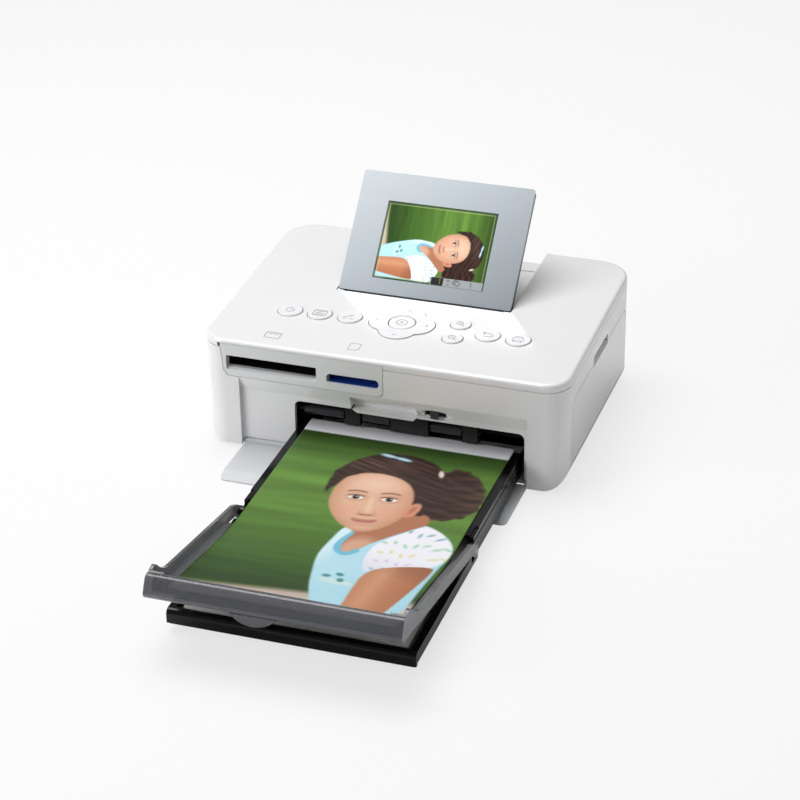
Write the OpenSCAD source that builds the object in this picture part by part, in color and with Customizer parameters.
// Compact photo printer with a tilting display, front paper cassette and side ink door.
// Millimetres, +Z up, +X to the right, +Y to the back. The origin lies under the
// middle of the whole object's box, on the table. Each piece is drawn with y = 0 at
// the casing's front face, and home() moves it to the origin.

/* [Casing] */
// Width of the casing
case_w = 178; // [174:1:200]
// Depth of the casing, front to back
case_d = 127; // [127:1:150]
// Height of the casing's top at the back edge
case_h = 60.5; // [59.5:0.5:70]
// Height of the casing's top at the front edge
front_h = 56.7; // [56:0.1:62]
// Radius of the two front corners in plan
front_corner_r = 12; // [9:0.5:14]
// Radius of the two back corners in plan
back_corner_r = 16; // [10:0.5:20]
// Radius of the long bottom edges at the left and right
bottom_edge_r = 10; // [4:0.5:12]
// Wall thickness of the casing
wall = 2.2; // [1.8:0.1:2.6]
// Rounding of the top cover's upper edge
top_edge_r = 1.8; // [0.8:0.1:2]
// How far the seam lies below the top's edge
seam_drop = 4; // [3.4:0.1:5]
// Gap shown between two casing pieces at a seam
seam_gap = 0.25; // [0.1:0.05:0.35]
// Height of the rubber feet below the casing
foot_h = 1.6; // [1.2:0.1:2]
// Radius of the rubber feet
foot_r = 5; // [3:0.5:6]

/* [Display] */
// Width of the display unit
display_w = 86.5; // [70:0.5:90]
// Length of the display unit from hinge end to top end
display_l = 61.6; // [50:0.5:62]
// Thickness of the display unit with its glass
display_t = 6; // [5:0.25:6.5]
// Thickness of the display's front glass
glass_t = 1.5; // [1:0.1:2]
// Width of the picture area
screen_w = 55.8; // [45:0.1:62]
// Height of the picture area
screen_h = 39.6; // [30:0.1:44]
// Angle of the display above level when it is open
display_tilt = 46.9; // [20:0.1:60]
// Distance of the hinge axis behind the casing's front face
hinge_y = 64.4; // [64:0.1:66]
// Depth of the hinge axis below the top surface
hinge_drop = 1.8; // [1.6:0.1:2.2]
// Depth of the display's recess in the top cover
display_bay_depth = 6.8; // [6.6:0.1:7.2]

/* [Keys] */
// Radius of the six round keys
key_r = 5.9; // [4.5:0.1:6]
// Radius of the two small zoom keys
zoom_key_r = 4.9; // [3.5:0.1:5]
// Radius of the OK key
ok_key_r = 6.3; // [5:0.1:6.5]
// Radius of each lobe of the four-way pad
pad_lobe_r = 9.2; // [8.6:0.1:9.6]
// Distance of the pad's side lobes from its centre
pad_reach = 6.8; // [6:0.1:7]
// Height of the keys above the top cover
key_proud = 0.6; // [0.3:0.1:1]
// Gap around each key
key_gap = 0.35; // [0.25:0.05:0.5]
// Thickness of a key, from its face to its flange
key_h = 3.2; // [3:0.1:3.4]

/* [Front] */
// Width of the recess that the cassette door closes into
recess_w = 141; // [138:1:150]
// Height of the recess's upper edge above the table
recess_top = 38.1; // [37:0.1:38.1]
// Thickness of the cassette door
door_t = 2.3; // [1.8:0.1:2.6]
// Room between the cassette's front part and the opening's side, at each end
opening_side = 0.7; // [0.6:0.1:1.5]
// Height of the cassette opening's upper edge above the table
opening_top = 28.5; // [27:0.1:29]
// Width of the card panel at its lower edge
panel_w = 78; // [76:0.5:80]
// Height of the card panel's lower edge above the table
panel_z = 38.4; // [38.4:0.1:40]
// Width of the wide card slot
wide_slot_w = 45; // [43.5:0.1:46]
// Height of the wide card slot
wide_slot_h = 6.4; // [5:0.1:6.6]
// Width of the narrow card slot
narrow_slot_w = 25.6; // [24.6:0.1:26]
// Height of the narrow card slot
narrow_slot_h = 4.3; // [4.2:0.1:4.6]

/* [Cassette] */
// Width of the paper, and of the print
paper_w = 100; // [89:1:101]
// Length of a sheet with its two tear-off ends
paper_l = 172; // [160:1:172]
// Height of the stack of blank sheets
stack_h = 4.2; // [1:0.1:4.3]
// How far the cassette's front part reaches past the paper, on each side
cassette_side = 5.5; // [5.5:0.25:6]
// Length of the cassette base
cassette_l = 184; // [184:1:190]
// Length of the cassette that goes into the casing
cassette_insert = 30; // [28:0.5:30]
// How far the cassette's middle lies right of the casing's middle
cassette_x = 13; // [12:0.5:14]
// Height of the cassette's underside above the table
cassette_z = 3.6; // [3.6:0.1:4]
// Wall thickness of the cassette base
cassette_wall = 1.8; // [1.4:0.1:2]
// Length of the outer cover from its hinge to its front bar
cover_l = 103; // [100:0.5:104]
// Angle of the opened outer cover above level
cover_tilt = 9.5; // [7:0.1:10]

/* [Mechanism] */
// Radius of the feed rollers' shafts where they run in the plates
shaft_r = 3; // [2:0.1:3]
// Running gap between a shaft and its bore
run_gap = 0.05; // [0.02:0.01:0.08]
// Radius of the grip roller
grip_r = 5; // [4:0.1:5]
// Radius of the pinch roller
pinch_r = 3; // [2.4:0.1:3]
// Radius of the platen roller
platen_r = 7; // [5:0.1:7]
// Radius of the pickup roller's rubber tyres
pickup_r = 8.8; // [8:0.1:8.8]
// Size of the gear teeth (pitch diameter over number of teeth)
gear_module = 0.8; // [0.78:0.01:0.8]
// Radius of the wound ink ribbon's chambers, outside
chamber_r = 9.6; // [8:0.1:9.6]
// Thickness of the side plates
plate_t = 1.2; // [0.8:0.1:1.4]

/* [Hidden] */

$fn = 48;
eps = 0.01;            // overlap that lets a cut pass a face cleanly
far = 300;             // longer than the whole object

// Colours, as the photograph shows them
white_shell = [0.93, 0.93, 0.94];
pale_grey = [0.80, 0.81, 0.83];
soft_black = [0.07, 0.07, 0.08];
smoke = [0.30, 0.31, 0.34];
steel = [0.70, 0.71, 0.73];
rubber_grey = [0.20, 0.20, 0.21];
board_green = [0.10, 0.36, 0.22];
nylon_white = [0.88, 0.87, 0.82];

// The casing's top surface and its frame: y along the slope, z out of the surface
top_slope = atan((case_h - front_h) / case_d);
function top_z(y) = front_h + y * tan(top_slope);
module deck() { translate([0, 0, front_h]) rotate([top_slope, 0, 0]) children(); }

// ---- Casing and its openings
paper_x0 = cassette_x - paper_w / 2;
paper_x1 = cassette_x + paper_w / 2;
cassette_w = paper_w + 2 * cassette_side;
opening_w = cassette_w + 2 * opening_side;
opening_x0 = cassette_x - opening_w / 2;
opening_x1 = cassette_x + opening_w / 2;
floor_z = foot_h + 1.6;                 // upper face of the casing's floor
recess_side = 1.8;                      // recess's right edge past the opening
recess_x1 = opening_x1 + recess_side;
recess_x0 = recess_x1 - recess_w;
recess_depth = door_t + 0.2;
ramp_z = recess_top - 7;                // the recess fades out above this height
panel_x0 = -79.5;
panel_x1 = panel_x0 + panel_w + 3.3;
panel_slant = 2.2;                      // how far the panel's left edge leans out
panel_t = 2.6;
wide_slot_x = -53.4;                    // middle of the wide card slot
narrow_slot_x = -13;                    // middle of the narrow card slot
slot_z = 42.5;                          // lower edge of both card slots
scoop_x0 = -15;
scoop_x1 = 17.4;
scoop_z0 = opening_top - 0.1;
scoop_z1 = 35.4;
scoop_depth = 7;
scoop_lip = 1.7;                        // thickness of the lip under the scoop
switch_x = 26.2;
switch_z = 32.1;
switch_half_l = 9.3;                    // half the length of the lens-shaped window
switch_half_h = 2.6;
switch_travel = 3;
knob_w = 3.6;
knob_h = 3.6;
knob_gap = 0.3;
ok_gap = 0.5;                           // round the OK key, where the pad rocks

// Ink door in the right wall
ink_door_y0 = 12.4;
ink_door_y1 = case_d - 15;
ink_door_z0 = 12.4;
ink_door_z1 = 43.4;
ink_door_r = 5;
ink_hinge_z = ink_door_z0 - 1.6;
ink_hinge_x = case_w / 2 - 1.8;
ink_knuckle_r = 1.8;
ink_pin_r = 1;
ink_pin_l = 2.4;
ink_grip_y0 = 50;
ink_grip_y1 = 77;
ink_grip_h = 4;

// Cassette door hinge
door_gap = 0.6;
door_x0 = recess_x0 + 1.2;
door_x1 = recess_x1 - door_gap;
door_hinge_y = 2.7;
door_hinge_z = 2.9;
door_knuckle_r = 1.5;
door_pin_r = 0.7;
door_pin_l = 2.8;
door_reach = recess_top - 0.3 - door_hinge_z;   // hinge axis to the door's free edge

// Screw posts: [x, y] of the four that join the two casing halves
post_r = 3.2;
post_room = 5.4;                        // opening's side to the middle of the post beside it
right_plate_x = paper_x1 + 8.3;
plate_side_x = right_plate_x + 1.6 + post_r;    // least x of a post beside the right plate
screw_posts = [[-case_w / 2 + 7, 14],
               [max(case_w / 2 - 11, opening_x1 + post_room, plate_side_x), 7.4],
               [-case_w / 2 + 10, case_d - 11], [max(case_w / 2 - 11, plate_side_x), case_d - 8]];
post_top = 34;
screw_r = 1.4;
screw_head_r = 2.4;
screw_head_h = 1.8;
screw_l = 11;
foot_places = [[-case_w / 2 + 19, 16], [case_w / 2 - 13, 16],
               [-case_w / 2 + 19, case_d - 14], [case_w / 2 - 19, case_d - 14]];

// Keys: [x, y] on the top surface
pad_place = [-1.3, 38];
power_place = [-56.7, 35.7];
menu_place = [-41.9, 36.3];
edit_place = [-27, 37];
zoom_in_place = [25.8, 44.3];
zoom_out_place = [26, 30.5];
back_place = [41.1, 37.7];
print_place = [55.9, 37.4];
round_keys = [power_place, menu_place, edit_place, back_place, print_place];
zoom_keys = [zoom_in_place, zoom_out_place];
cover_t = 2.2;                          // thickness of the top cover's deck
flange_t = 0.6;
flange_r = 0.9;                         // how far a key's flange reaches past its face
key_travel = 0.6;
key_bottom = key_proud - key_h - flange_t;      // underside of a key's flange
pad_flange_z = -cover_t - 0.55 - flange_t;      // underside of the pad's flange
boot_top = pad_flange_z - 0.35;
mat_top = boot_top - 0.6 - 0.4;
mat_t = 0.5;
board_t = 1.4;
board_top = mat_top - mat_t;
key_field = [[-66, 24.6], [64, 51.4]];          // corners of the key board
board_posts = [for (x = [key_field[0][0] + 3, key_field[1][0] - 3],
    y = [key_field[0][1] + 3, key_field[1][1] - 3]) [x, y]];

// Sockets in the back wall, beside the left side plate
socket_z = 14;
usb_w = 7.8;
power_w = 10;
usb_x = paper_x0 - 14;
power_x = max(usb_x - 15, -case_w / 2 + back_corner_r + 3.6);

// Display
display_x = 1;
display_start = 0.75;                   // hinge axis to the display's lower end
bay_gap = 0.75;
tub_wall = 1.8;
tub_floor = 1.6;
bay_x0 = display_x - display_w / 2 - bay_gap;
bay_x1 = display_x + display_w / 2 + bay_gap;
bay_y0 = hinge_y - 2.6;
display_pin_r = 1.1;
display_pin_l = 8;
screen_up = 7.6;                        // display's lower end to the picture area

// Cassette
cassette_y0 = cassette_insert - cassette_l;
shoulder_y = -69;                       // the cassette is wider in front of here
insert_w = cassette_w - 3;
cassette_floor = cassette_z + 1.4;
front_rim = 10.6;
rear_rim = 13;
bar_r = 2.6;
cover_hinge_y = -72;
cover_hinge_z = 11;
cover_w = cassette_w + 1.4;
cover_side = 1.6;
cover_plate_t = 1.6;
cover_plate_v = 17;                     // hinge to the plate's rear edge
cover_side_h = 6;
cover_lug_r = 3;
cover_pin_r = 1.1;
bar_face_r = 3;
bar_back = 97.5;
bar_top = 10.4;
bulge_v = 93.5;
bulge_h = 12.2;
inner_cover_w = insert_w - 0.4;
inner_cover_top = 16.2;
inner_cover_t = 1.4;
inner_cover_y1 = 6;
sheet_t = 0.3;
sheet_rear = 8.5;
sheet_bend_r = 150;
stack_gap = 0.2;

// The whole object runs from the opened cover's front bar to the casing's back
cover_front_y = cover_hinge_y - (cover_l - bar_face_r) * cos(cover_tilt)
    + bar_face_r * sin(cover_tilt) - bar_face_r;
middle_y = (case_d + cover_front_y) / 2;
module home() { translate([0, -middle_y, 0]) children(); }

// Mechanism: [y, z] of each shaft
left_plate_x = paper_x0 - 9.5;
chassis_y0 = 8;
chassis_y1 = case_d - 8;
chassis_top = 49.4;
grip_at = [41.5, 20];
grip_teeth = 30;
pinion_teeth = 12;
pickup_teeth = 20;
takeup_teeth = 25;
function spread(na, nb) = gear_module * (na + nb) / 2;
function polar(from, dist, angle) = [from[0] + dist * cos(angle), from[1] + dist * sin(angle)];
pinion_angle = -10;
takeup_angle = 45.2;
pickup_angle = 184.3;
pinion_at = polar(grip_at, spread(grip_teeth, pinion_teeth), pinion_angle);
takeup_at = polar(grip_at, spread(grip_teeth, takeup_teeth), takeup_angle);
pickup_at = polar(grip_at, spread(grip_teeth, pickup_teeth), pickup_angle);
pinch_at = [grip_at[0], grip_at[1] + grip_r + pinch_r + 0.1];
platen_at = [78, 17.5];
exit_at = [9.3, 21.6];
supply_at = [98, takeup_at[1]];
head_pivot_at = [113, 48];
gear_x = left_plate_x - 9;              // left face of the gears
gear_t = 5;
bracket_x = left_plate_x - 12.1;
board_x = -case_w / 2 + wall + 2;
board_thick = 1.6;
motor_room = 6.6;                       // beside the motor, for the main board's parts
motor_r = 12;
motor_l = bracket_x - board_x - board_thick - motor_room;
pinch_shaft_r = 1.5;
exit_shaft_r = 1.2;
exit_roller_r = 2.6;
head_pivot_r = 1.5;
head_gap = 0.7;                         // beside the ink cassette's end frames
bush_r = shaft_r + 1.2;
guide_top = 24.2;
rear_slot_z0 = 22.5;
rear_slot_z1 = 30;

// ---- Helpers
// Extrudes a (y, z) outline from x0 to x1
module along_x(x0, x1) { translate([x0, 0, 0]) rotate([90, 0, 90]) linear_extrude(x1 - x0) children(); }
// Extrudes an (x, z) outline from y0 to y1
module along_y(y0, y1) { translate([0, y1, 0]) rotate([90, 0, 0]) linear_extrude(y1 - y0) children(); }
// Round bar along x at [y, z]
module bar_x(at, r, x0, x1) {
    translate([x0, at[0], at[1]]) rotate([0, 90, 0]) cylinder(r = r, h = x1 - x0);
}
// Points of an arc in the plane
function arc(cx, cy, r, a0, a1, n = 8) =
    [for (i = [0:n]) [cx + r * cos(a0 + (a1 - a0) * i / n), cy + r * sin(a0 + (a1 - a0) * i / n)]];
// Rounded rectangle from [x0, y0] to [x1, y1] with lower and upper corner radii
module round_box_2d(x0, y0, x1, y1, r_low, r_high) {
    polygon(concat(
        r_low > 0 ? arc(x0 + r_low, y0 + r_low, r_low, 180, 270) : [[x0, y0]],
        r_low > 0 ? arc(x1 - r_low, y0 + r_low, r_low, 270, 360) : [[x1, y0]],
        r_high > 0 ? arc(x1 - r_high, y1 - r_high, r_high, 0, 90) : [[x1, y1]],
        r_high > 0 ? arc(x0 + r_high, y1 - r_high, r_high, 90, 180) : [[x0, y1]]));
}

// ---- Gears: involute flanks, with a little backlash cut from each tooth
pressure_angle = 20;
tooth_backlash = 0.12;
function involute_turn(rb, r) = r <= rb ? 0 : sqrt(pow(r / rb, 2) - 1) * 180 / PI - acos(rb / r);
function flank(n, r) = let (rp = gear_module * n / 2, rb = rp * cos(pressure_angle))
    90 / n - tooth_backlash / rp * 90 / PI + involute_turn(rb, rp) - involute_turn(rb, r);
function gear_points(n) = let (rp = gear_module * n / 2, rt = rp + 0.9 * gear_module,
        rf = rp - 1.15 * gear_module, levels = [rf, rp - 0.4 * gear_module, rp, rp + 0.5 * gear_module, rt])
    [for (i = [0:n - 1]) each concat(
        [for (r = levels) let (a = i * 360 / n - flank(n, r)) [r * cos(a), r * sin(a)]],
        [for (k = [len(levels) - 1:-1:0]) let (r = levels[k], a = i * 360 / n + flank(n, r))
            [r * cos(a), r * sin(a)]])];
// Turn that brings gear b into mesh with gear a, which lies at the given angle from b's partner
function mesh_phase(na, nb, angle, phase_a) = angle + 180 - (na * (phase_a - angle) + 180) / nb;
// Gear along x at [y, z], with a raised hub and a bore
module gear_x_axis(n, at, phase, bore_r, hub_r) {
    translate([gear_x, at[0], at[1]]) rotate([90, 0, 90]) difference() {
        union() {
            rotate(phase) linear_extrude(gear_t) polygon(gear_points(n));
            cylinder(r = hub_r, h = gear_t + 1.2);
        }
        translate([0, 0, -1]) cylinder(r = bore_r, h = gear_t + 4);
    }
}

// ---- Casing
module case_plan(inset) {
    rf = front_corner_r - inset;
    rb = back_corner_r - inset;
    w = case_w / 2 - inset;
    polygon(concat(
        arc(-w + rf, inset + rf, rf, 180, 270, 16), arc(w - rf, inset + rf, rf, 270, 360, 16),
        arc(w - rb, case_d - inset - rb, rb, 0, 90, 16),
        arc(-w + rb, case_d - inset - rb, rb, 90, 180, 16)));
}
module case_end(inset, z0) {
    r = max(bottom_edge_r - inset, 0.5);
    w = case_w / 2 - inset;
    polygon(concat(arc(-w + r, z0 + r, r, 180, 270, 12), arc(w - r, z0 + r, r, 270, 360, 12),
        [[w, 90], [-w, 90]]));
}
module case_block(inset, z0) {
    intersection() {
        linear_extrude(90) case_plan(inset);
        along_y(-1, case_d + 1) case_end(inset, z0);
    }
}
module above_seam(drop) { deck() translate([-far / 2, -20, -drop]) cube([far, far, 60]); }

// The outline of the card panel, grown by g
module panel_2d(g) {
    r = 3;
    x0 = panel_x0 + panel_slant + 2.3 - g;
    x1 = panel_x1 + g;
    z0 = panel_z - g;
    polygon(concat([[panel_x0 - g, 62]], [[panel_x0 + panel_slant - g, z0 + 2.6]],
        arc(x0 + 0.6, z0 + 1.6, 1.6, 200, 270, 4), arc(x1 - r, z0 + r, r, 270, 360, 6), [[x1, 62]]));
}
module front_opening_2d() {
    r = 3;
    dip = 1.7;
    polygon(concat([[opening_x0, floor_z], [opening_x0, opening_top - r]],
        arc(opening_x0 + r, opening_top - r, r, 180, 90, 5),
        [[scoop_x0 + 0.4, opening_top], [scoop_x0 + 3, opening_top - dip],
         [scoop_x1 - 2, opening_top - dip], [scoop_x1 - 0.4, opening_top]],
        arc(opening_x1 - r, opening_top - r, r, 90, 0, 5), [[opening_x1, floor_z]]));
}
module switch_lens_2d(g) {
    r = (pow(switch_half_l, 2) + pow(switch_half_h, 2)) / (2 * switch_half_h) + g;
    off = r - g - switch_half_h;
    half = acos(off / r);
    polygon(concat(arc(switch_x, switch_z - off, r, 90 - half, 90 + half, 8),
        arc(switch_x, switch_z + off, r, 270 - half, 270 + half, 8)));
}
module recess_profile() {
    polygon([[-2, -1], [recess_depth, -1], [recess_depth, ramp_z], [0, recess_top],
        [-2, recess_top]]);
}
// Wall behind the recess, thicker at the foot for the door's knuckles
module recess_backing() {
    y = recess_depth + wall;
    polygon([[1, foot_h], [y + 2, foot_h], [y + 2, 5.6], [y, 7.6], [y, ramp_z + 1],
        [wall, recess_top - 0.5], [1, recess_top - 0.5]]);
}
module lower_case() {
    color(white_shell) home() difference() {
        union() {
            difference() {
                case_block(0, foot_h);
                case_block(wall, floor_z);
            }
            // the walls behind the recess, the scoop and the ink door's grip
            intersection() {
                case_block(0.2, foot_h + 0.2);
                union() {
                    along_x(recess_x0 - 3, recess_x1 + 3) recess_backing();
                    translate([scoop_x0 - 1.6, 1, opening_top - scoop_lip])
                        cube([scoop_x1 - scoop_x0 + 3.2, scoop_depth + 0.6, scoop_z1 - scoop_z0 + 3.4]);
                    for (x = [recess_x0 - 5, recess_x1]) translate([x, 1, foot_h]) cube([5, 6, 5.6]);
                    translate([case_w / 2 - 7, ink_grip_y0 - 2, ink_door_z1 - 1.6])
                        cube([7, ink_grip_y1 - ink_grip_y0 + 4, ink_grip_h + 3.4]);
                    for (y = [ink_door_y0 - 4.6, ink_door_y1 + 0.2])
                        translate([ink_hinge_x - 3.4, y, foot_h]) cube([6, 4.4, ink_hinge_z + 3]);
                }
            }
            for (p = screw_posts) translate([p[0], p[1], foot_h + 1])
                cylinder(r = post_r, h = post_top - foot_h - 1);
            // seats for the rear guide and the side plates
            for (x = [left_plate_x + 3, right_plate_x - 8], y = [54, 100])
                translate([x, y, floor_z - 0.5]) cylinder(r = 3, h = 1.5);
        }
        above_seam(seam_drop + seam_gap / 2);
        along_x(recess_x0, recess_x1) recess_profile();
        along_y(-3, 12) front_opening_2d();
        // groove that the cassette door's knuckles turn in
        bar_x([door_hinge_y, door_hinge_z], door_knuckle_r + 0.3, door_x0 - 0.3, door_x1 + 0.3);
        // scoop above the opening
        along_x(scoop_x0, scoop_x1) polygon([[-2, scoop_z0], [scoop_depth, scoop_z0],
            [scoop_depth, scoop_z0 + 2], [1.6, scoop_z1], [-2, scoop_z1]]);
        // switch window, with room for the knob at both stops, and slot
        along_y(-3, recess_depth + 1) {
            switch_lens_2d(0);
            translate([switch_x, switch_z]) square([knob_w + 2 * (switch_travel + knob_gap),
                knob_h + 2 * knob_gap], center = true);
        }
        translate([switch_x - knob_w / 2 - switch_travel - 0.4, -3, switch_z - 1.5])
            cube([knob_w + 2 * switch_travel + 0.8, 12, 3]);
        along_y(-3, wall + 3) panel_2d(seam_gap);
        // ink door: the way in, its hinge groove and pin holes, and the finger grip over it
        translate([case_w / 2 - 4, 0, 0]) along_x(-2, 8)
            round_box_2d(ink_door_y0 - seam_gap, ink_hinge_z, ink_door_y1 + seam_gap,
                ink_door_z1 + seam_gap, 0, ink_door_r);
        translate([ink_hinge_x, ink_door_y0 - seam_gap, ink_hinge_z]) rotate([-90, 0, 0])
            cylinder(r = ink_knuckle_r + 0.5, h = ink_door_y1 - ink_door_y0 + 2 * seam_gap);
        translate([ink_hinge_x, ink_door_y0 - ink_pin_l - 0.6, ink_hinge_z]) rotate([-90, 0, 0])
            cylinder(r = ink_pin_r + run_gap, h = ink_door_y1 - ink_door_y0 + 2 * ink_pin_l + 1.2);
        translate([case_w / 2 - 4.5, 0, 0]) along_x(0, 8)
            round_box_2d(ink_grip_y0, ink_door_z1 - 3, ink_grip_y1, ink_door_z1 + ink_grip_h, 0, 2);
        // cassette door's pin holes
        bar_x([door_hinge_y, door_hinge_z], door_pin_r + run_gap, door_x0 - door_pin_l - 0.5, door_x0);
        bar_x([door_hinge_y, door_hinge_z], door_pin_r + run_gap, door_x1, door_x1 + door_pin_l + 0.5);
        // the display bay's tub reaches through the back wall
        deck()
            translate([bay_x0 - tub_wall - seam_gap, case_d - 20, -display_bay_depth - tub_floor - seam_gap])
            cube([bay_x1 - bay_x0 + 2 * (tub_wall + seam_gap), 40, 40]);
        // rear slot for the sheet, and the vents
        along_y(case_d - wall - 4, case_d + 2)
            round_box_2d(paper_x0 - 2.5, rear_slot_z0, paper_x1 + 2.5, rear_slot_z1, 1, 1);
        for (i = [0:6]) translate([-case_w / 2 - 2, 58 + 7 * i, 18]) cube([6, 2.6, 22]);
        // sockets in the back wall
        along_y(case_d - wall - 4, case_d + 2) translate([power_x, socket_z]) circle(r = 4.6);
        along_y(case_d - wall - 4, case_d + 2) translate([usb_x, socket_z])
            square([usb_w + 0.4, usb_w + 0.4], center = true);
        // screw holes from below
        for (p = screw_posts) translate([p[0], p[1], -1]) {
            cylinder(r = screw_head_r + 0.3, h = post_top - 2 + 1);
            cylinder(r = screw_r + 0.2, h = post_top + 3);
        }
        for (p = foot_places) translate([p[0], p[1], 0]) cylinder(r = foot_r, h = foot_h + 0.4);
    }
}

// Top cover: deck, skirt, display bay and key holes, drawn on the sloping top
module pad_2d(g) {
    for (a = [0, 180]) rotate(a) translate([pad_reach, 0]) circle(r = pad_lobe_r + g);
    for (a = [90, 270]) rotate(a) translate([pad_reach - 0.5, 0]) circle(r = pad_lobe_r + g);
}
module cover_shell_outer() {
    hull() for (a = [0:22.5:90])
        translate([0, 0, -top_edge_r * (1 - sin(a)) - eps])
            linear_extrude(eps) case_plan(top_edge_r * (1 - cos(a)));
    translate([0, 0, -seam_drop + seam_gap / 2])
        linear_extrude(seam_drop - top_edge_r - seam_gap / 2) case_plan(0);
}
module top_cover() {
    color(white_shell) home() difference() {
        union() {
            deck() cover_body();
            for (p = screw_posts) translate([p[0], p[1], post_top + 0.1])
                cylinder(r = post_r, h = top_z(p[1]) - post_top - 1);
        }
        deck() cover_openings();
        for (p = screw_posts) translate([p[0], p[1], post_top - 1]) cylinder(r = screw_r, h = screw_l);
    }
}
module cover_body() {
    difference() {
        cover_shell_outer();
        translate([0, 0, -20]) linear_extrude(20 - cover_t) case_plan(wall);
    }
    // lip that drops inside the lower case, away from the card panel
    difference() {
        translate([0, 0, -seam_drop - 2.6]) linear_extrude(seam_drop + 1) case_plan(wall + 0.15);
        translate([0, 0, -seam_drop - 3]) linear_extrude(seam_drop + 2) case_plan(wall + 1.35);
        translate([panel_x0 - 4, -2, -12]) cube([panel_x1 - panel_x0 + 8, 10, 12 - cover_t]);
    }
    // tub under the display bay
    translate([bay_x0 - tub_wall, bay_y0 - tub_wall, -display_bay_depth - tub_floor])
        cube([bay_x1 - bay_x0 + 2 * tub_wall, case_d - bay_y0 + tub_wall, display_bay_depth + 1]);
    // bosses for the hinge pins and the key board
    for (x = [bay_x0 - 7, bay_x1]) translate([x, hinge_y - 3, -5.6]) cube([7, 6, 4.6]);
    for (p = board_posts) translate([p[0], p[1], board_top])
        cylinder(r = 2, h = -board_top - 1);
}
module cover_openings() {
    translate([bay_x0, bay_y0, -display_bay_depth]) cube([bay_x1 - bay_x0, far, 20]);
    // the card panel takes the place of the skirt here
    translate([panel_x0 - 0.6, -2, -20 - top_edge_r])
        cube([panel_x1 - panel_x0 + 0.6 + seam_gap, 3 + wall, 20]);
    for (p = round_keys) translate([p[0], p[1], -10]) cylinder(r = key_r + key_gap, h = 12);
    for (p = zoom_keys) translate([p[0], p[1], -10]) cylinder(r = zoom_key_r + key_gap, h = 12);
    translate([pad_place[0], pad_place[1], -10]) linear_extrude(12) pad_2d(key_gap);
    for (x = [bay_x0 - 7.5, bay_x1 - 1]) translate([x, hinge_y, -hinge_drop]) rotate([0, 90, 0])
        cylinder(r = display_pin_r, h = 8.5);
    // groove across the display bay near its back edge
    translate([bay_x0, case_d - 9.6, -display_bay_depth - 0.5]) cube([bay_x1 - bay_x0, 0.9, 1]);
}

module card_panel() {
    color([0.86, 0.87, 0.88]) home() difference() {
        union() {
            intersection() {
                along_y(0, panel_t) panel_2d(0);
                linear_extrude(90) case_plan(0);
            }
            // flange behind the lower case's wall
            along_y(panel_t, panel_t + 1.2) intersection() {
                panel_2d(0.6);
                translate([-78, 0]) square([90, panel_z + 10]);
            }
        }
        above_seam(top_edge_r + 0.15);
        translate([wide_slot_x - wide_slot_w / 2, -1, slot_z]) cube([wide_slot_w, 7, wide_slot_h]);
        along_y(-1, 6) narrow_slot_2d();
        // the lower lips of the slots slope outward
        along_x(wide_slot_x - wide_slot_w / 2, wide_slot_x + wide_slot_w / 2)
            polygon([[-1, slot_z - 1.1], [0, slot_z - 1.1], [2, slot_z + 0.1], [-1, slot_z + 0.1]]);
    }
}
module narrow_slot_2d() {
    w = narrow_slot_w / 2;
    h = narrow_slot_h;
    c = 1.2;
    translate([narrow_slot_x, slot_z])
        polygon([[-w, 0], [w - c, 0], [w, c], [w, h - c], [w - c, h], [-w + c, h], [-w, h - c]]);
}
reader_y0 = panel_t + 1.5;
module wide_card_reader() {
    w = wide_slot_w / 2;
    color(soft_black) home() difference() {
        translate([wide_slot_x - w - 1.4, reader_y0, slot_z - 1.2]) cube([2 * w + 2.8, 39, wide_slot_h + 2]);
        translate([wide_slot_x - w, reader_y0 - 1, slot_z]) cube([2 * w, 36, wide_slot_h]);
    }
    // two rows of contact pins at the back of the slot
    color([0.8, 0.68, 0.35]) home() for (row = [0, 1])
        translate([wide_slot_x - 16, reader_y0 + 27, slot_z + 2.2 + 1.4 * row]) cube([32, 8.2, 0.5]);
}
module narrow_card_reader() {
    w = narrow_slot_w / 2;
    color([0.09, 0.20, 0.50]) home() difference() {
        translate([narrow_slot_x - w - 1.4, reader_y0, slot_z - 1.2])
            cube([2 * w + 2.8, 27, narrow_slot_h + 2.4]);
        translate([narrow_slot_x - w, reader_y0 - 1, slot_z]) cube([2 * w, 25, narrow_slot_h]);
    }
}

// Cassette door: drawn as it lies open, flat on the table
door_low = door_hinge_z - door_hinge_y;
module cassette_door() {
    tip = door_hinge_y - door_reach;
    bay = (door_x1 - door_x0 - 5.8) / 6;
    color(pale_grey) home() difference() {
        union() {
            intersection() {
                along_x(door_x0, door_x1) polygon([[tip, door_low], [tip, door_low + 0.7],
                    [tip + 7, door_low + door_t], [door_hinge_y - 1, door_low + door_t],
                    [door_hinge_y - 1, door_low]]);
                // rounded outer corners
                translate([0, 0, -1]) linear_extrude(10) round_box_2d(door_x0, tip, door_x1, 10, 3, 0);
            }
            bar_x([door_hinge_y, door_hinge_z], door_knuckle_r, door_x0, opening_x0 - 1);
            bar_x([door_hinge_y, door_hinge_z], door_knuckle_r, opening_x1 + 0.6, door_x1);
            bar_x([door_hinge_y, door_hinge_z], door_pin_r, door_x0 - door_pin_l, door_x0 + 4);
            bar_x([door_hinge_y, door_hinge_z], door_pin_r, door_x1 - 1, door_x1 + door_pin_l);
        }
        // the inner side is hollowed between its ribs
        for (i = [0:5]) translate([door_x0 + 4 + bay * i, tip + 8, -1])
            cube([bay - 2.2, door_reach - 12, 1 + door_low + 0.8]);
    }
}

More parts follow.
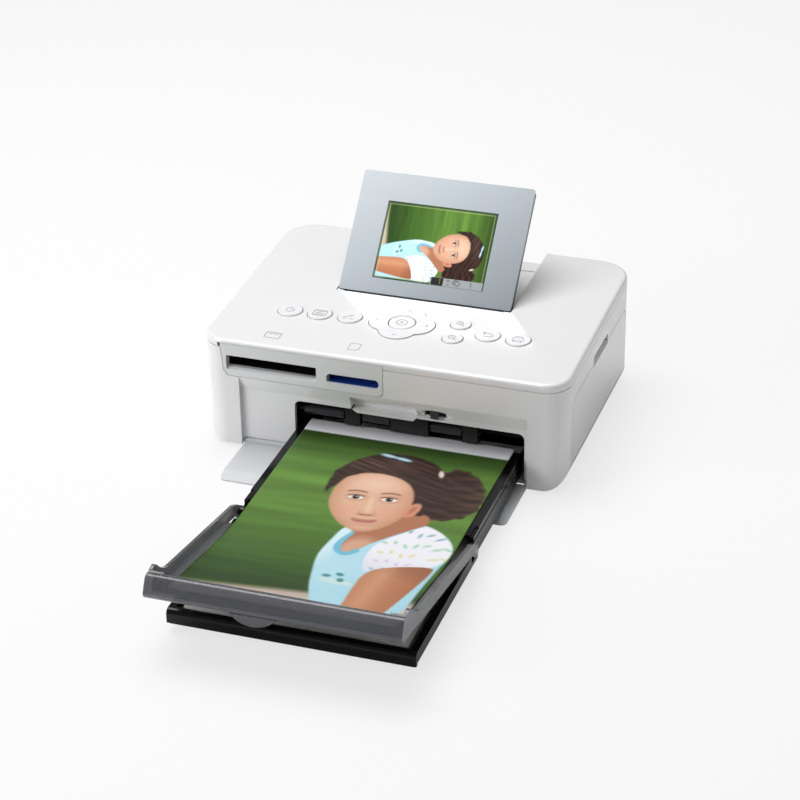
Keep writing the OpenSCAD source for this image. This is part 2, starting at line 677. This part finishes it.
module format_switch() {
    color([0.25, 0.26, 0.28]) home() {
        y0 = 1.1;
        translate([switch_x - knob_w / 2, y0, switch_z - knob_h / 2]) difference() {
            cube([knob_w, recess_depth + 0.7 - y0, knob_h]);
            for (i = [0:3]) translate([0.4 + 0.8 * i, -1, -1]) cube([0.4, 1.4, knob_h + 2]);
        }
        translate([switch_x - knob_w / 2 + 0.4, recess_depth + 0.6, switch_z - 1.2])
            cube([knob_w - 0.8, 2.8, 2.4]);
        translate([switch_x - 3.5, recess_depth + wall + 0.8, switch_z - 2.4]) cube([7, 2, 4.8]);
    }
}

// Ink door: plate, knuckle and its two pins
module ink_door() {
    color(white_shell) home() difference() {
        union() {
            along_x(case_w / 2 - wall, case_w / 2)
                round_box_2d(ink_door_y0, ink_hinge_z, ink_door_y1, ink_door_z1, 0, ink_door_r);
            translate([ink_hinge_x, ink_door_y0, ink_hinge_z]) rotate([-90, 0, 0])
                cylinder(r = ink_knuckle_r, h = ink_door_y1 - ink_door_y0);
            translate([ink_hinge_x, ink_door_y0 - ink_pin_l, ink_hinge_z]) rotate([-90, 0, 0])
                cylinder(r = ink_pin_r, h = ink_door_y1 - ink_door_y0 + 2 * ink_pin_l);
            // stiffening rib round the inside
            translate([case_w / 2 - wall - 1.4, 0, 0]) along_x(0, 1.5) difference() {
                round_box_2d(ink_door_y0 + 2, ink_hinge_z + 4, ink_door_y1 - 2, ink_door_z1 - 2, 0, 4);
                round_box_2d(ink_door_y0 + 3.4, ink_hinge_z + 5.4, ink_door_y1 - 3.4,
                    ink_door_z1 - 3.4, 0, 3);
            }
        }
        // bevelled finger edge under the grip
        translate([case_w / 2, (ink_grip_y0 + ink_grip_y1) / 2, ink_door_z1]) rotate([0, 45, 0])
            cube([2, ink_grip_y1 - ink_grip_y0 - 1, 2], center = true);
    }
}

module rubber_feet() {
    color(rubber_grey) home() for (p = foot_places) translate([p[0], p[1], 0]) {
        cylinder(r1 = foot_r - 0.6, r2 = foot_r - 0.05, h = 0.6);
        translate([0, 0, 0.6]) cylinder(r = foot_r - 0.05, h = foot_h - 0.2);
    }
}
module case_screws() {
    color(steel) home() for (p = screw_posts) translate([p[0], p[1], post_top - 2]) {
        translate([0, 0, -screw_head_h]) difference() {
            cylinder(r = screw_head_r, h = screw_head_h);
            for (a = [0, 90]) rotate(a) translate([-1.5, -0.3, -1]) cube([3, 0.6, 2]);
        }
        translate([0, 0, -eps]) cylinder(r = screw_r, h = screw_l);
    }
}

// ---- Display: drawn closed, then turned up about its hinge
module display_frame() {
    translate([display_x, hinge_y, -hinge_drop]) rotate([display_tilt - top_slope, 0, 0]) children();
}
module display_pin_bores(r) {
    for (s = [-1, 1]) translate([s * (display_w / 2 - 2.5), 0, 0]) rotate([0, 90, 0])
        cylinder(r = r, h = 6, center = true);
}
glass_top = hinge_drop;
shell_top = glass_top - glass_t;
module screen_area(z0, h, g) {
    translate([-screen_w / 2 - g, display_start + screen_up - g, z0])
        cube([screen_w + 2 * g, screen_h + 2 * g, h]);
}
module display_glass() {
    color([0.62, 0.68, 0.74]) home() deck() display_frame() difference() {
        translate([0, 0, shell_top]) linear_extrude(glass_t)
            round_box_2d(-display_w / 2, display_start, display_w / 2, display_start + display_l, 0.8, 1);
        screen_area(shell_top - 1, 4, 0);
        display_pin_bores(display_pin_r + 0.35);
    }
}
module display_screen() {
    color([0.10, 0.14, 0.10]) home() deck() display_frame()
        screen_area(shell_top - 0.9, 0.9 + glass_t - 0.15, -0.1);
}
module display_shell() {
    low = glass_top - display_t;
    w = display_w / 2;
    color([0.16, 0.17, 0.18]) home() deck() display_frame() difference() {
        union() {
            translate([0, 0, low + 1]) linear_extrude(shell_top - low - 1)
                round_box_2d(-w + 0.3, display_start, w - 0.3, display_start + display_l - 0.3, 0.8, 1);
            translate([0, 0, low]) linear_extrude(1.2)
                round_box_2d(-w + 1.3, display_start + 1, w - 1.3, display_start + display_l - 1.3, 1, 2);
            translate([-w + 0.3, 0, 0]) rotate([0, 90, 0]) cylinder(r = hinge_drop, h = 2 * w - 0.6);
        }
        translate([0, 0, shell_top]) linear_extrude(3) square([far, far], center = true);
        translate([0, 0, 1]) screen_area(shell_top - 1.9, 4, 0);
        display_pin_bores(display_pin_r + run_gap);
    }
}
module display_hinge_pins() {
    color(steel) home() deck() translate([display_x, hinge_y, -hinge_drop])
        for (s = [-1, 1]) translate([s * (display_w / 2 + 1), 0, 0]) rotate([0, 90, 0])
            cylinder(r = display_pin_r, h = display_pin_l, center = true);
}

// ---- Keys
module round_key(place, r, reach = flange_r) {
    color(white_shell) home() deck() translate([place[0], place[1], 0]) {
        translate([0, 0, key_proud - 0.4]) cylinder(r1 = r, r2 = r - 0.3, h = 0.4);
        translate([0, 0, key_proud - key_h]) cylinder(r = r, h = key_h - 0.4);
        translate([0, 0, key_bottom]) cylinder(r = r + reach, h = flange_t);
    }
}
module power_key() { round_key(power_place, key_r); }
module menu_key() { round_key(menu_place, key_r); }
module edit_key() { round_key(edit_place, key_r); }
module back_key() { round_key(back_place, key_r); }
module print_key() { round_key(print_place, key_r); }
module zoom_in_key() { round_key(zoom_in_place, zoom_key_r); }
module zoom_out_key() { round_key(zoom_out_place, zoom_key_r); }
module ok_key() { round_key(pad_place, ok_key_r, 0); }
module direction_pad() {
    color(white_shell) home() deck() translate([pad_place[0], pad_place[1], 0]) difference() {
        union() {
            translate([0, 0, pad_flange_z]) linear_extrude(key_proud - 0.1 - pad_flange_z) pad_2d(0);
            translate([0, 0, pad_flange_z]) linear_extrude(flange_t) pad_2d(0.9);
        }
        translate([0, 0, -9]) cylinder(r = ok_key_r + ok_gap, h = 12);
    }
}
module pad_boot() {
    color(rubber_grey) home() deck() translate([pad_place[0], pad_place[1], boot_top - 0.6]) difference() {
        cylinder(r = 12.5, h = 0.6);
        translate([0, 0, -1]) cylinder(r = 8.2, h = 3);
    }
}
module key_mat() {
    color([0.75, 0.75, 0.74]) home() deck() difference() {
        union() {
            translate([key_field[0][0] + 0.2, key_field[0][1] + 0.2, board_top])
                cube([key_field[1][0] - key_field[0][0] - 0.4,
                    key_field[1][1] - key_field[0][1] - 0.4, mat_t]);
            // a dome under each key
            for (p = concat(round_keys, zoom_keys, [pad_place])) translate([p[0], p[1], mat_top - eps])
                cylinder(r1 = 4, r2 = 2.6, h = key_bottom - key_travel - 0.05 - mat_top);
        }
        for (p = board_posts) translate([p[0], p[1], mat_top - 2]) cylinder(r = 2.3, h = 4);
    }
}
module key_board() {
    color(board_green) home() deck()
        translate([key_field[0][0], key_field[0][1], board_top - board_t])
            cube([key_field[1][0] - key_field[0][0], key_field[1][1] - key_field[0][1], board_t]);
}

// ---- Chassis
module shaft_hole(at, r) { bar_x(at, r, -10, 10); }
module plate_outline_2d() {
    polygon([[chassis_y0 + 24, floor_z + 1], [chassis_y1, floor_z + 1],
        [chassis_y1, chassis_top + 1], [chassis_y1 - 10, chassis_top + 1.6], [60, chassis_top],
        [46, chassis_top - 9], [chassis_y0, chassis_top - 9], [chassis_y0, 14.4],
        [chassis_y0 + 24, 14.4]]);
}
module plate_holes() {
    shaft_hole(grip_at, bush_r);
    shaft_hole(platen_at, bush_r);
    shaft_hole(pinch_at, pinch_shaft_r + run_gap);
    shaft_hole(pickup_at, shaft_r + run_gap);
    shaft_hole(head_pivot_at, head_pivot_r);
}
module left_side_plate() {
    color(steel) home() translate([left_plate_x, 0, 0]) difference() {
        along_x(0, plate_t) plate_outline_2d();
        plate_holes();
        shaft_hole(takeup_at, shaft_r + run_gap);
        // lightening holes
        for (y = [96, 110]) along_x(-1, plate_t + 1) translate([y, 14]) circle(r = 5);
    }
}
module right_side_plate() {
    gap = 0.25;
    color(steel) home() translate([right_plate_x, 0, 0]) difference() {
        along_x(0, plate_t) plate_outline_2d();
        plate_holes();
        // window that the ink cassette passes through
        bar_x(takeup_at, chamber_r + gap, -1, plate_t + 1);
        bar_x(supply_at, chamber_r + gap, -1, plate_t + 1);
        along_x(-1, plate_t + 1) translate([takeup_at[0], takeup_at[1] - chamber_r - gap])
            square([supply_at[0] - takeup_at[0], chamber_r * 2 + gap * 2]);
    }
}
module chassis_base() {
    x0 = left_plate_x + plate_t;
    color(steel) home() difference() {
        union() {
            translate([x0, chassis_y0 + 24, floor_z + 1])
                cube([right_plate_x - x0, chassis_y1 - chassis_y0 - 24, plate_t]);
            translate([x0, chassis_y1 - plate_t, floor_z + 1]) cube([right_plate_x - x0, plate_t, 14]);
        }
        for (x = [-30, -4, 22, 48]) translate([x, 92, 0]) cylinder(r = 7, h = 10);
        translate([x0 + 10, 50, 0]) cube([92, 12, 10]);
    }
}
bracket_posts = [[28, 36], [66, 8], [14, 33]];
module gear_bracket() {
    color(steel) home() difference() {
        union() {
            along_x(bracket_x, bracket_x + plate_t)
                polygon([[chassis_y0 + 2, 10], [50, 6], [72, 6], [72, 32], [66, 47], [50, 47], [45, 40.5],
                    [24, 40.5], [chassis_y0 + 2, 36]]);
            for (p = bracket_posts) bar_x(p, 2.4, bracket_x, left_plate_x);
        }
        translate([bracket_x, 0, 0]) {
            shaft_hole(pinion_at, 4);
            shaft_hole(grip_at, shaft_r + run_gap);
            shaft_hole(pickup_at, shaft_r + run_gap);
            shaft_hole(takeup_at, shaft_r + run_gap);
        }
    }
}
rotor_end = bracket_x - 0.6 * motor_l;
module feed_motor() {
    color([0.45, 0.46, 0.48]) home() difference() {
        union() {
            bar_x(pinion_at, motor_r, bracket_x - motor_l, bracket_x);
            bar_x(pinion_at, motor_r + 0.6, bracket_x - 0.6 * motor_l, bracket_x - 0.3 * motor_l);
            bar_x(pinion_at, 3.9, bracket_x - 1, bracket_x + plate_t - 0.2);
        }
        bar_x(pinion_at, 1 + run_gap, rotor_end - 1, bracket_x + 5);
    }
}
module motor_pinion() {
    color([0.80, 0.70, 0.40]) home() {
        gear_x_axis(pinion_teeth, pinion_at,
            mesh_phase(grip_teeth, pinion_teeth, pinion_angle, 0), 0.9, 2.4);
        bar_x(pinion_at, 1, rotor_end, gear_x + gear_t + 1);
    }
}
module grip_roller() {
    color(steel) home() {
        bar_x(grip_at, grip_r, left_plate_x + plate_t + 1.4, right_plate_x - 1.4);
        bar_x(grip_at, shaft_r, bracket_x - 1, right_plate_x + plate_t + 1);
    }
}
module grip_gear() {
    color(nylon_white) home() gear_x_axis(grip_teeth, grip_at, 0, shaft_r, 5.5);
}
module pinch_roller() {
    color(rubber_grey) home() {
        bar_x(pinch_at, pinch_r, paper_x0 + 4, paper_x1 - 4);
        bar_x(pinch_at, pinch_shaft_r, left_plate_x - 0.6, right_plate_x + plate_t + 0.6);
    }
}
tyre_w = 8;
tyre_x = 6;                             // tyre's middle from the cassette's middle
module pickup_roller() {
    color(rubber_grey) home() {
        for (s = [-1, 1]) translate([cassette_x + s * tyre_x, 0, 0]) difference() {
            bar_x(pickup_at, pickup_r, -tyre_w / 2, tyre_w / 2);
            // grip grooves across the tread
            for (a = [0:30:330]) translate([0, pickup_at[0], pickup_at[1]]) rotate([a, 0, 0])
                translate([0, pickup_r, 0]) cube([tyre_w + 2, 0.8, 0.8], center = true);
        }
        bar_x(pickup_at, shaft_r, bracket_x - 1, right_plate_x + plate_t + 1);
    }
}
module pickup_gear() {
    color(nylon_white) home()
        gear_x_axis(pickup_teeth, pickup_at,
            mesh_phase(grip_teeth, pickup_teeth, pickup_angle, 0), shaft_r, 5);
}
module platen_roller() {
    color(soft_black) home() {
        bar_x(platen_at, platen_r, paper_x0 + 1, paper_x1 - 1);
        bar_x(platen_at, shaft_r, left_plate_x - 1, right_plate_x + plate_t + 1);
    }
}
module roller_bushes() {
    color([0.75, 0.6, 0.3]) home() for (at = [grip_at, platen_at], left = [true, false]) {
        x = left ? left_plate_x : right_plate_x;
        collar_x = left ? x + plate_t : x - 0.8;
        difference() {
            union() {
                bar_x(at, bush_r, x, x + plate_t);
                bar_x(at, bush_r + 1, collar_x, collar_x + 0.8);
            }
            bar_x(at, shaft_r + run_gap, x - 4, x + 6);
        }
    }
}
exit_blocks = [[-19.4, -12], [3.2, 21.6], [38.4, 45.6]];
exit_spans = [[-40, -20.4], [-11, 2.3], [22.5, 37.5]];
exit_end = 46.6;
module exit_rollers() {
    color([0.62, 0.62, 0.60]) home() {
        bar_x(exit_at, exit_shaft_r, opening_x0 - 1, exit_end - 0.4);
        for (s = exit_spans) bar_x(exit_at, exit_roller_r, s[0], s[1]);
    }
}
// Black lining of the cassette opening, with the blocks that carry the exit rollers
guide_y0 = recess_depth + wall + 0.1;
module exit_guide() {
    side = 1.4;
    x0 = opening_x0 - 0.3;
    x1 = opening_x1 + 0.3;
    roof = opening_top + 1.9;
    color(soft_black) home() difference() {
        union() {
            translate([x0 - side, guide_y0, roof]) cube([x1 - x0 + 2 * side, 28.4, side]);
            for (x = [x0 - side, x1]) translate([x, guide_y0 + 2, floor_z])
                cube([side, 8, roof - floor_z + 1]);
            for (b = exit_blocks) translate([b[0], guide_y0 + 1.2, exit_at[1] - 4])
                cube([b[1] - b[0], 6.2, roof - exit_at[1] + 4.5]);
            // thin ribs between the blocks
            for (x = [-34, -27, 52, 58, 64]) translate([x, 15, exit_at[1] + 4])
                cube([1.2, 11, roof - exit_at[1] - 3.6]);
        }
        bar_x(exit_at, exit_shaft_r + run_gap, x0 - side - 1, exit_end);
        // room round the scoop and the switch
        translate([scoop_x0 - 2, 0, opening_top - scoop_lip - 0.4])
            cube([switch_x + 7.5 - scoop_x0 + 2, scoop_depth + 2, 20]);
        // room over the pickup tyres
        bar_x(pickup_at, pickup_r + 0.6, cassette_x - tyre_x - tyre_w / 2 - 1,
            cassette_x + tyre_x + tyre_w / 2 + 1);
    }
}
module paper_guide() {
    x0 = paper_x0 - 3;
    w = paper_w + 6;
    y0 = platen_at[0] + platen_r + 1.2;
    z0 = floor_z + 1 + plate_t;
    color(soft_black) home() difference() {
        union() {
            // flat plate behind the platen, with ribs
            translate([x0, y0, guide_top - 1.6]) cube([w, chassis_y1 - 1 - y0, 1.6]);
            for (i = [0:8]) translate([x0 + i * (w - 1.6) / 8, y0, z0])
                cube([1.6, chassis_y1 - 1.2 - y0, guide_top - z0]);
        }
        for (x = [-30, -4, 22, 48]) translate([x, 92, 0]) cylinder(r = 4, h = 12);
    }
}

// ---- Print head, held up over the platen
module head_arm() {
    y1 = head_pivot_at[0];
    z = head_pivot_at[1];
    x0 = paper_x0 - 5;
    x1 = paper_x1 + 5;
    color(steel) home() difference() {
        union() {
            translate([x0, 67, z - 1]) cube([x1 - x0, y1 - 67 - 4, 1.5]);
            for (x = [x0, x1 - 1.5]) translate([x, 0, 0]) along_x(0, 1.5)
                polygon(concat([[67, z + 0.5], [67, z - 2.5], [85, z - 2.5], [87, z - 1], [y1 - 4, z - 1]],
                    arc(y1, z, 3, 200, 360, 8), arc(y1, z, 3, 0, 100, 6)));
        }
        bar_x(head_pivot_at, head_pivot_r + run_gap, x0 - 1, x1 + 1);
        for (x = [-20, 13, 46]) translate([x, 97, z - 3]) cylinder(r = 5, h = 6);
    }
}
module heat_sink() {
    z0 = 30.9;
    z1 = head_pivot_at[1] - 1;
    color([0.78, 0.79, 0.80]) home() difference() {
        translate([head_x0, 68.5, z0]) cube([head_x1 - head_x0, 15, z1 - z0]);
        for (i = [0:3]) translate([head_x0 - 1, 70.6 + 3.4 * i, z0 + 5])
            cube([head_x1 - head_x0 + 2, 1.8, z1 - z0 - 7]);
    }
}
module thermal_head() {
    color([0.90, 0.88, 0.84]) home() {
        translate([head_x0, 70.5, 29.3]) cube([head_x1 - head_x0, 11, 1.6]);
        // the line of heating dots stands out of the ceramic
        bar_x([76, 29.6], 0.9, head_x0, head_x1);
    }
}
module head_pivot_shaft() {
    color(steel) home() bar_x(head_pivot_at, head_pivot_r, left_plate_x - 0.5, right_plate_x + plate_t + 0.5);
}

// ---- Ink cassette: two ribbon chambers joined by end frames
frame_t = 1.5;
ink_x0 = paper_x0 - 3;
ink_x1 = paper_x1 + 4.5;
chamber_wall = 1;
spool_r = 2.5;
spool_end = ink_x0 - 0.4;
head_x0 = ink_x0 + frame_t + head_gap;
head_x1 = ink_x1 - frame_t - head_gap;
module chamber(at) {
    difference() {
        bar_x(at, chamber_r, ink_x0, ink_x1);
        bar_x(at, chamber_r - chamber_wall, ink_x0 + frame_t, ink_x1 - frame_t);
        // slot that the ribbon leaves by, towards the head
        translate([ink_x0 + frame_t, at[0] < 80 ? at[0] : at[0] - chamber_r, at[1] - chamber_r - 1])
            cube([ink_x1 - ink_x0 - 2 * frame_t, chamber_r, 4]);
    }
}
module ink_cassette() {
    z0 = takeup_at[1] - chamber_r;
    color([0.33, 0.34, 0.36]) home() difference() {
        union() {
            chamber(takeup_at);
            chamber(supply_at);
            for (x = [ink_x0, ink_x1 - frame_t]) translate([x, takeup_at[0], z0])
                cube([frame_t, supply_at[0] - takeup_at[0], 2.4]);
            // handle end that the door covers
            translate([ink_x1 - frame_t, 0, 0]) along_x(0, case_w / 2 - wall - 2.6 - ink_x1 + frame_t)
                difference() {
                    round_box_2d(takeup_at[0] - 4, z0 + 1, supply_at[0] + 4, z0 + 13.5, 3, 3);
                    round_box_2d(takeup_at[0] + 8, z0 + 3.4, supply_at[0] - 8, z0 + 11.1, 2, 2);
                }
        }
        for (at = [takeup_at, supply_at]) bar_x(at, spool_r + run_gap, ink_x0 - 1, ink_x1 - 0.1);
    }
}
module spool(at, wound_r) {
    bar_x(at, wound_r, ink_x0 + frame_t + 2.2, ink_x1 - frame_t - 2.2);
    for (x = [ink_x0 + frame_t + 0.5, ink_x1 - frame_t - 1.7])
        bar_x(at, chamber_r - chamber_wall - 0.5, x, x + 1.2);
    bar_x(at, spool_r, spool_end, ink_x1 - 0.4);
}
module supply_spool() { color([0.12, 0.12, 0.16]) home() spool(supply_at, 7.4); }
module takeup_spool() { color([0.18, 0.18, 0.20]) home() spool(takeup_at, 4.2); }
module takeup_gear() {
    color(nylon_white) home() {
        gear_x_axis(takeup_teeth, takeup_at,
            mesh_phase(grip_teeth, takeup_teeth, takeup_angle, 0), 2.5, 4.6);
        bar_x(takeup_at, shaft_r, bracket_x - 1, spool_end);
    }
}

// ---- Electronics
board_y = 46;
board_z = 8;
board_l = case_d - back_corner_r - board_y + 1;
board_h = front_h - board_z - 10.7;
module main_board() {
    color(board_green) home() {
        translate([board_x, board_y, board_z]) cube([board_thick, board_l, board_h]);
        // four stand-offs towards the wall
        for (y = [board_y + 4, board_y + board_l - 4], z = [board_z + 6, board_z + board_h - 4])
            bar_x([y, z], 2, wall - case_w / 2, board_x);
    }
    // chips, two capacitors and a plug for the leads
    color(soft_black) home() translate([board_x + board_thick - eps, board_y, board_z]) {
        for (p = [[10, 22, 12, 9], [30, 6, 14, 14], [30, 25, 9, 7]])
            translate([0, p[0], p[1]]) cube([1.8, p[2], p[3]]);
        for (z = [4, 13]) bar_x([55, z], 3.6, 0, 8.4);
        translate([0, 50, 22]) cube([6, 12, 8]);
    }
}
module power_socket() {
    color(soft_black) home() translate([power_x, case_d - 0.6, socket_z]) rotate([90, 0, 0]) difference() {
        union() {
            cylinder(r = 4.3, h = 3);
            translate([-power_w / 2, -power_w / 2, wall - 0.4]) cube([power_w, power_w, 11]);
        }
        translate([0, 0, -1]) difference() {
            cylinder(r = 2.9, h = 11);
            translate([0, 0, -1]) cylinder(r = 0.85, h = 14);
        }
    }
}
module usb_socket() {
    w = usb_w / 2;
    inner = w - 0.6;
    color([0.72, 0.72, 0.73]) home() translate([usb_x, case_d - wall, socket_z]) difference() {
        translate([-w, -12.4, -w]) cube([usb_w, 14, usb_w]);
        translate([-inner, -8, -inner]) cube([2 * inner, 12, 2 * inner]);
        // the two upper corners are cut off
        for (s = [-1, 1]) translate([s * w, 0, w]) rotate([0, 45, 0]) cube([1.4, 40, 1.4], center = true);
    }
    color([0.93, 0.93, 0.92]) home() translate([usb_x - 1.6, case_d - wall - 8 - eps, socket_z - 1.6])
        cube([3.2, 8, 2.6]);
}

// ---- Paper cassette
module cassette_centre() { translate([cassette_x, 0, 0]) children(); }
module tray_part(y0, y1, w, rim) {
    r = 2;
    along_y(y0, y1) polygon(concat(arc(-w / 2 + r, cassette_z + r, r, 180, 270, 5),
        arc(w / 2 - r, cassette_z + r, r, 270, 360, 5), [[w / 2, rim], [-w / 2, rim]]));
}
module cassette_base() {
    front_in = cassette_y0 + cassette_wall;
    ear_x = cover_w / 2 - cover_side - 0.25;
    color(soft_black) home() cassette_centre() difference() {
        union() {
            difference() {
                union() {
                    tray_part(cassette_y0 + bar_r, shoulder_y + 1, cassette_w, front_rim);
                    tray_part(shoulder_y, cassette_insert, insert_w, rear_rim);
                }
                // the well that holds the paper
                translate([-insert_w / 2 + cassette_wall, front_in, cassette_floor])
                    cube([insert_w - 2 * cassette_wall, cassette_l - 2 * cassette_wall, 20]);
                // the rear wall is low, so that the sheets can leave over it
                translate([-insert_w / 2 + cassette_wall, cassette_insert - 6, 8])
                    cube([insert_w - 2 * cassette_wall, 10, 20]);
                for (s = [-1, 1]) {
                    // groove that runs along the front part's rim
                    translate([s * (cassette_w / 2 - 1.5) - 0.3, cassette_y0 + 6, front_rim - 1])
                        cube([0.6, shoulder_y - cassette_y0 - 16, 2]);
                    // room for the outer cover's hinge lugs
                    translate([s * (ear_x + 2) - 2, cover_hinge_y - 5, cover_hinge_z - cover_lug_r - 0.6])
                        cube([4, 10, 10]);
                }
            }
            // rounded front bar
            bar_x([cassette_y0 + bar_r, front_rim - bar_r], bar_r, -cassette_w / 2, cassette_w / 2);
            translate([-cassette_w / 2, cassette_y0, cassette_z + 0.6])
                cube([cassette_w, cassette_wall, front_rim - bar_r - cassette_z - 0.6]);
            translate([-cassette_w / 2 + 1, cassette_y0 + 0.6, cassette_z]) cube([cassette_w - 2, 4, 1.4]);
            // ears that carry the outer cover's pins
            for (s = [-1, 1]) translate([s * (ear_x - 1.1), cover_hinge_y, cover_hinge_z]) {
                rotate([0, 90, 0]) cylinder(r = cover_lug_r, h = 2.2, center = true);
                translate([-1.1, -cover_lug_r, cassette_floor - cover_hinge_z - 0.4])
                    cube([2.2, 2 * cover_lug_r, cover_hinge_z - cassette_floor + 0.4]);
            }
        }
        for (s = [-1, 1]) translate([s * (ear_x - 1), cover_hinge_y, cover_hinge_z]) rotate([0, 90, 0])
            cylinder(r = cover_pin_r, h = 6, center = true);
        // thumb dish in the front bar
        translate([-8, cassette_y0 - 1, front_rim + 9]) rotate([-90, 0, 0]) cylinder(r = 10, h = 8);
    }
}
module cassette_inner_cover() {
    w = inner_cover_w / 2;
    y0 = shoulder_y + 0.4;
    color([0.05, 0.05, 0.06]) home() cassette_centre() difference() {
        union() {
            translate([-w, y0, inner_cover_top - inner_cover_t])
                cube([2 * w, inner_cover_y1 - y0, inner_cover_t]);
            for (s = [-1, 1]) translate([s * (w - 0.8) - 0.8, y0, rear_rim])
                cube([1.6, inner_cover_y1 - y0, inner_cover_top - rear_rim - 0.2]);
            // clips inside the base's walls
            for (s = [-1, 1], y = [-60, -30, -4])
                translate([s * (w - cassette_wall - 0.5) - 0.5, y, rear_rim - 2.5]) cube([1, 8, 4.4]);
            // cross ribs under the plate that keep the sheets flat
            for (y = [-58, -38, -18, 0]) translate([-w + 4, y, inner_cover_top - inner_cover_t - 3])
                cube([2 * w - 8, 1.2, 3.2]);
        }
        // notches at the front corners and a step in the front edge
        for (s = [-1, 1]) translate([s * w - 1.6, y0 - 1, inner_cover_top - 0.7]) cube([3.2, 9, 2]);
        translate([-14, y0 - 6, 0]) cylinder(r = 12, h = 30);
    }
}
// The outer cover, turned up about its hinge; v runs forward along its plate
module cover_frame() {
    translate([cassette_x, cover_hinge_y, cover_hinge_z]) rotate([-cover_tilt, 0, 0]) children();
}
function forward(points) = [for (p = points) [-p[0], p[1]]];
side_outline = concat(
    arc(0, 0, cover_lug_r, 90, 300, 10),
    [[6, 0], [bar_back + 1, 0], [bar_back + 1, bar_top - 1]],
    [[bulge_v + 3, bulge_h - 1], [bulge_v + 1.2, bulge_h - 0.2], [bulge_v, bulge_h],
     [bulge_v - 1.4, bulge_h - 0.7]],
    [for (t = [1 / 6:1 / 6:1.01]) [bulge_v - 1.4 - 14 * t,
        cover_side_h + (bulge_h - 0.7 - cover_side_h) * pow(1 - min(t, 1), 2.2)]],
    [[8, cover_side_h], [3, 4.6]]);
module cassette_outer_cover() {
    w = cover_w / 2;
    color(smoke, 0.8) home() cover_frame() difference() {
        union() {
            translate([-w, -bar_back - 1, 0]) cube([cover_w, bar_back + 1 - cover_plate_v, cover_plate_t]);
            for (x = [-w, w - cover_side]) along_x(x, x + cover_side) polygon(forward(side_outline));
            // front bar: a rounded wall across the whole width
            along_x(-w, w) polygon(forward(concat([[bar_back, 0]],
                arc(cover_l - bar_face_r, bar_face_r, bar_face_r, 270, 360, 6),
                arc(cover_l - 1.6 - bar_face_r, bar_top - bar_face_r, bar_face_r, 20, 120, 6),
                [[bar_back, bar_top - 2.2]])));
            // bulged ends of the bar
            for (x = [-w, w - 7]) along_x(x, x + 7) polygon(forward([[bar_back + 1, cover_side_h],
                [bar_back + 1, bar_top - 0.6], [bulge_v + 3.4, bulge_h - 1.4],
                [bulge_v + 2.6, bulge_h - 3], [bar_back - 1.5, cover_side_h]]));
            // thumb tab below the bar
            translate([-8.5, -cover_l + 3.4, 9.4]) rotate([90, 0, 0]) difference() {
                cylinder(r = 14, h = 1.5);
                translate([-20, -9.4, -1]) cube([40, 40, 4]);
            }
        }
        for (x = [-w - 1, w - cover_side - 1]) translate([x, 0, 0]) rotate([0, 90, 0])
            cylinder(r = cover_pin_r + run_gap, h = cover_side + 2);
    }
}
module cassette_hinge_pins() {
    w = cover_w / 2;
    color(steel) home() translate([cassette_x, cover_hinge_y, cover_hinge_z])
        for (s = [-1, 1]) translate([s * (w - 2), 0, 0]) rotate([0, 90, 0])
            cylinder(r = cover_pin_r, h = 4, center = true);
}
stack_y0 = cassette_y0 + 2 * bar_r + 0.5;
module paper_stack() {
    color([0.95, 0.95, 0.93]) home() translate([paper_x0, stack_y0, cassette_floor + stack_gap])
        cube([paper_w, paper_l, stack_h]);
}
// The finished print: flat on the inner cover, then up the outer cover's slope
sheet_z = inner_cover_top + 0.2;
slope_gap = 0.25;
slope_z = cover_hinge_z + (cover_plate_t + slope_gap) / cos(cover_tilt);
meet = (sheet_z - slope_z) / tan(cover_tilt);   // where the two levels meet, before the hinge
bend = sheet_bend_r * tan(cover_tilt / 2);
bend_y = cover_hinge_y - meet + bend;
flat_l = sheet_rear - bend_y;
bend_l = sheet_bend_r * cover_tilt * PI / 180;
module printed_sheet() {
    inner = [for (i = [0:12]) let (a = cover_tilt * i / 12)
        [bend_y - sheet_bend_r * sin(a), sheet_z + sheet_bend_r * (1 - cos(a))]];
    end_y = inner[12][0] - (paper_l - flat_l - bend_l) * cos(cover_tilt);
    end_z = inner[12][1] + (paper_l - flat_l - bend_l) * sin(cover_tilt);
    lower = concat([[sheet_rear, sheet_z]], inner, [[end_y, end_z]]);
    color([0.55, 0.72, 0.45]) home() along_x(paper_x0, paper_x1)
        polygon(concat(lower, [for (i = [len(lower) - 1:-1:0]) [lower[i][0], lower[i][1] + sheet_t]]));
}

lower_case();
top_cover();
card_panel();
wide_card_reader();
narrow_card_reader();
cassette_door();
format_switch();
ink_door();
rubber_feet();
case_screws();
display_glass();
display_screen();
display_shell();
display_hinge_pins();
power_key();
menu_key();
edit_key();
back_key();
print_key();
zoom_in_key();
zoom_out_key();
direction_pad();
ok_key();
pad_boot();
key_mat();
key_board();
left_side_plate();
right_side_plate();
chassis_base();
gear_bracket();
feed_motor();
motor_pinion();
grip_roller();
grip_gear();
pinch_roller();
pickup_roller();
pickup_gear();
platen_roller();
roller_bushes();
exit_rollers();
exit_guide();
paper_guide();
head_arm();
thermal_head();
heat_sink();
head_pivot_shaft();
ink_cassette();
supply_spool();
takeup_spool();
takeup_gear();
main_board();
power_socket();
usb_socket();
cassette_base();
cassette_inner_cover();
cassette_outer_cover();
cassette_hinge_pins();
paper_stack();
printed_sheet();
